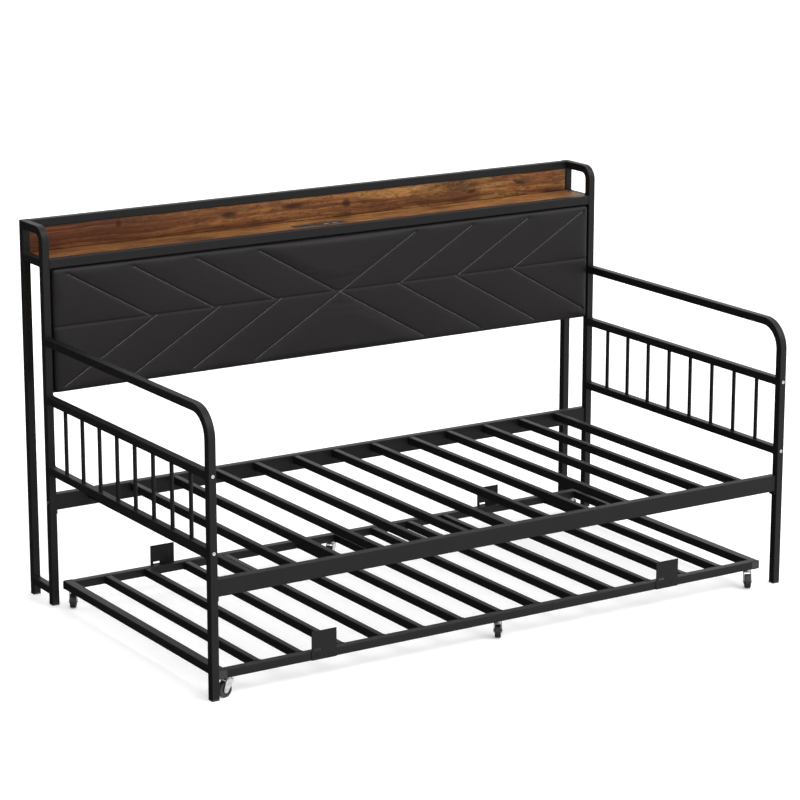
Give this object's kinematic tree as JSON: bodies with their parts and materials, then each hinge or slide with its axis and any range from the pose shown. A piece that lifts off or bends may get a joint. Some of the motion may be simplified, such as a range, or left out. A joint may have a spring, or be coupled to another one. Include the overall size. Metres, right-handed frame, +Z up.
{
  "type": "trundle bed",
  "caption": "Black metal daybed with spindle arms, a shelf headboard with a charging unit, a stitched padded back panel and a slatted pull-out trundle on swivel casters.",
  "frame": {"origin": "on the floor, under the middle of the bounding box", "axes": "+X along the bed, +Y towards the shelf headboard, +Z up"},
  "size_m": [2.004, 1.1608, 1.16],
  "materials": {
    "frame_metal": "satin black powder coat",
    "leather": "black stitched faux leather",
    "shelf_wood": "rustic brown boards with knots",
    "panel_wood": "plain plywood",
    "charger_plastic": "matte black",
    "port_plastic": "white gloss",
    "cap_plastic": "matte black",
    "bolt_steel": "zinc-plated",
    "caster_zinc": "bright zinc",
    "wheel_plastic": "black"
  },
  "bodies": {
    "bed": {"arm_tube_l": "frame_metal", "arm_tube_r": "frame_metal", "infill_rails_l": "frame_metal", "infill_rails_r": "frame_metal", "spindles_l": "frame_metal", "spindles_r": "frame_metal", "book_front_tube_l": "frame_metal", "book_front_tube_r": "frame_metal", "rear_post_l": "frame_metal", "rear_post_r": "frame_metal", "base_stretcher_l": "frame_metal", "base_stretcher_r": "frame_metal", "shelf_side_rail_l": "frame_metal", "shelf_side_rail_r": "frame_metal", "rear_top_rail": "frame_metal", "shelf_front_rail": "frame_metal", "shelf_rear_rail": "frame_metal", "shelf_board": "shelf_wood", "backboard": "shelf_wood", "panel_board": "panel_wood", "panel_pad": "leather", "deck_front_rail": "frame_metal", "deck_rear_rail": "frame_metal", "deck_slats": "frame_metal", "rail_end_plates": "frame_metal", "foot_caps": "cap_plastic", "frame_bolts": "bolt_steel", "charger_housing": "charger_plastic", "charger_face": "charger_plastic", "power_sockets": "charger_plastic", "usb_ports": "port_plastic", "cable_gland": "charger_plastic"},
    "trundle": {"trundle_front_rail": "frame_metal", "trundle_rear_rail": "frame_metal", "trundle_end_rail_l": "frame_metal", "trundle_end_rail_r": "frame_metal", "trundle_slats": "frame_metal", "trundle_end_caps": "cap_plastic", "mattress_stops": "frame_metal", "stop_bolts": "frame_metal", "caster_stems": "caster_zinc"},
    "caster_fork_1": {"fork_1": "caster_zinc", "axle_1": "caster_zinc"},
    "caster_wheel_1": {"wheel_1": "wheel_plastic"},
    "caster_fork_2": {"fork_2": "caster_zinc", "axle_2": "caster_zinc"},
    "caster_wheel_2": {"wheel_2": "wheel_plastic"},
    "caster_fork_3": {"fork_3": "caster_zinc", "axle_3": "caster_zinc"},
    "caster_wheel_3": {"wheel_3": "wheel_plastic"},
    "caster_fork_4": {"fork_4": "caster_zinc", "axle_4": "caster_zinc"},
    "caster_wheel_4": {"wheel_4": "wheel_plastic"},
    "caster_fork_5": {"fork_5": "caster_zinc", "axle_5": "caster_zinc"},
    "caster_wheel_5": {"wheel_5": "wheel_plastic"},
    "caster_fork_6": {"fork_6": "caster_zinc", "axle_6": "caster_zinc"},
    "caster_wheel_6": {"wheel_6": "wheel_plastic"}
  },
  "joints": [
    {"name": "trundle_slide", "type": "slide", "parent": "bed", "child": "trundle", "axis": [0, -1, 0], "range_m": [0, 0.98]},
    {"name": "caster_swivel_1", "type": "hinge", "parent": "trundle", "child": "caster_fork_1", "pos_m": [-0.938, -0.54611, 0.048], "axis": [0, 0, 1], "continuous": true},
    {"name": "caster_roll_1", "type": "hinge", "parent": "caster_fork_1", "child": "caster_wheel_1", "pos_m": [-0.95179, -0.54854, 0.022], "axis": [0.1736, -0.9848, 0], "continuous": true},
    {"name": "caster_swivel_2", "type": "hinge", "parent": "trundle", "child": "caster_fork_2", "pos_m": [-0.038, -0.54611, 0.048], "axis": [0, 0, 1], "continuous": true},
    {"name": "caster_roll_2", "type": "hinge", "parent": "caster_fork_2", "child": "caster_wheel_2", "pos_m": [-0.02997, -0.53464, 0.022], "axis": [-0.8192, 0.5736, 0], "continuous": true},
    {"name": "caster_swivel_3", "type": "hinge", "parent": "trundle", "child": "caster_fork_3", "pos_m": [0.89, -0.54611, 0.048], "axis": [0, 0, 1], "continuous": true},
    {"name": "caster_roll_3", "type": "hinge", "parent": "caster_fork_3", "child": "caster_wheel_3", "pos_m": [0.88238, -0.55785, 0.022], "axis": [0.8387, -0.5446, 0], "continuous": true},
    {"name": "caster_swivel_4", "type": "hinge", "parent": "trundle", "child": "caster_fork_4", "pos_m": [-0.946, 0.39189, 0.048], "axis": [0, 0, 1], "continuous": true},
    {"name": "caster_roll_4", "type": "hinge", "parent": "caster_fork_4", "child": "caster_wheel_4", "pos_m": [-0.95342, 0.38002, 0.022], "axis": [0.848, -0.5299, 0], "continuous": true},
    {"name": "caster_swivel_5", "type": "hinge", "parent": "trundle", "child": "caster_fork_5", "pos_m": [-0.038, 0.39189, 0.048], "axis": [0, 0, 1], "continuous": true},
    {"name": "caster_roll_5", "type": "hinge", "parent": "caster_fork_5", "child": "caster_wheel_5", "pos_m": [-0.04947, 0.38386, 0.022], "axis": [0.5736, -0.8192, 0], "continuous": true},
    {"name": "caster_swivel_6", "type": "hinge", "parent": "trundle", "child": "caster_fork_6", "pos_m": [0.898, 0.39189, 0.048], "axis": [0, 0, 1], "continuous": true},
    {"name": "caster_roll_6", "type": "hinge", "parent": "caster_fork_6", "child": "caster_wheel_6", "pos_m": [0.89321, 0.37873, 0.022], "axis": [0.9397, -0.342, 0], "continuous": true}
  ]
}
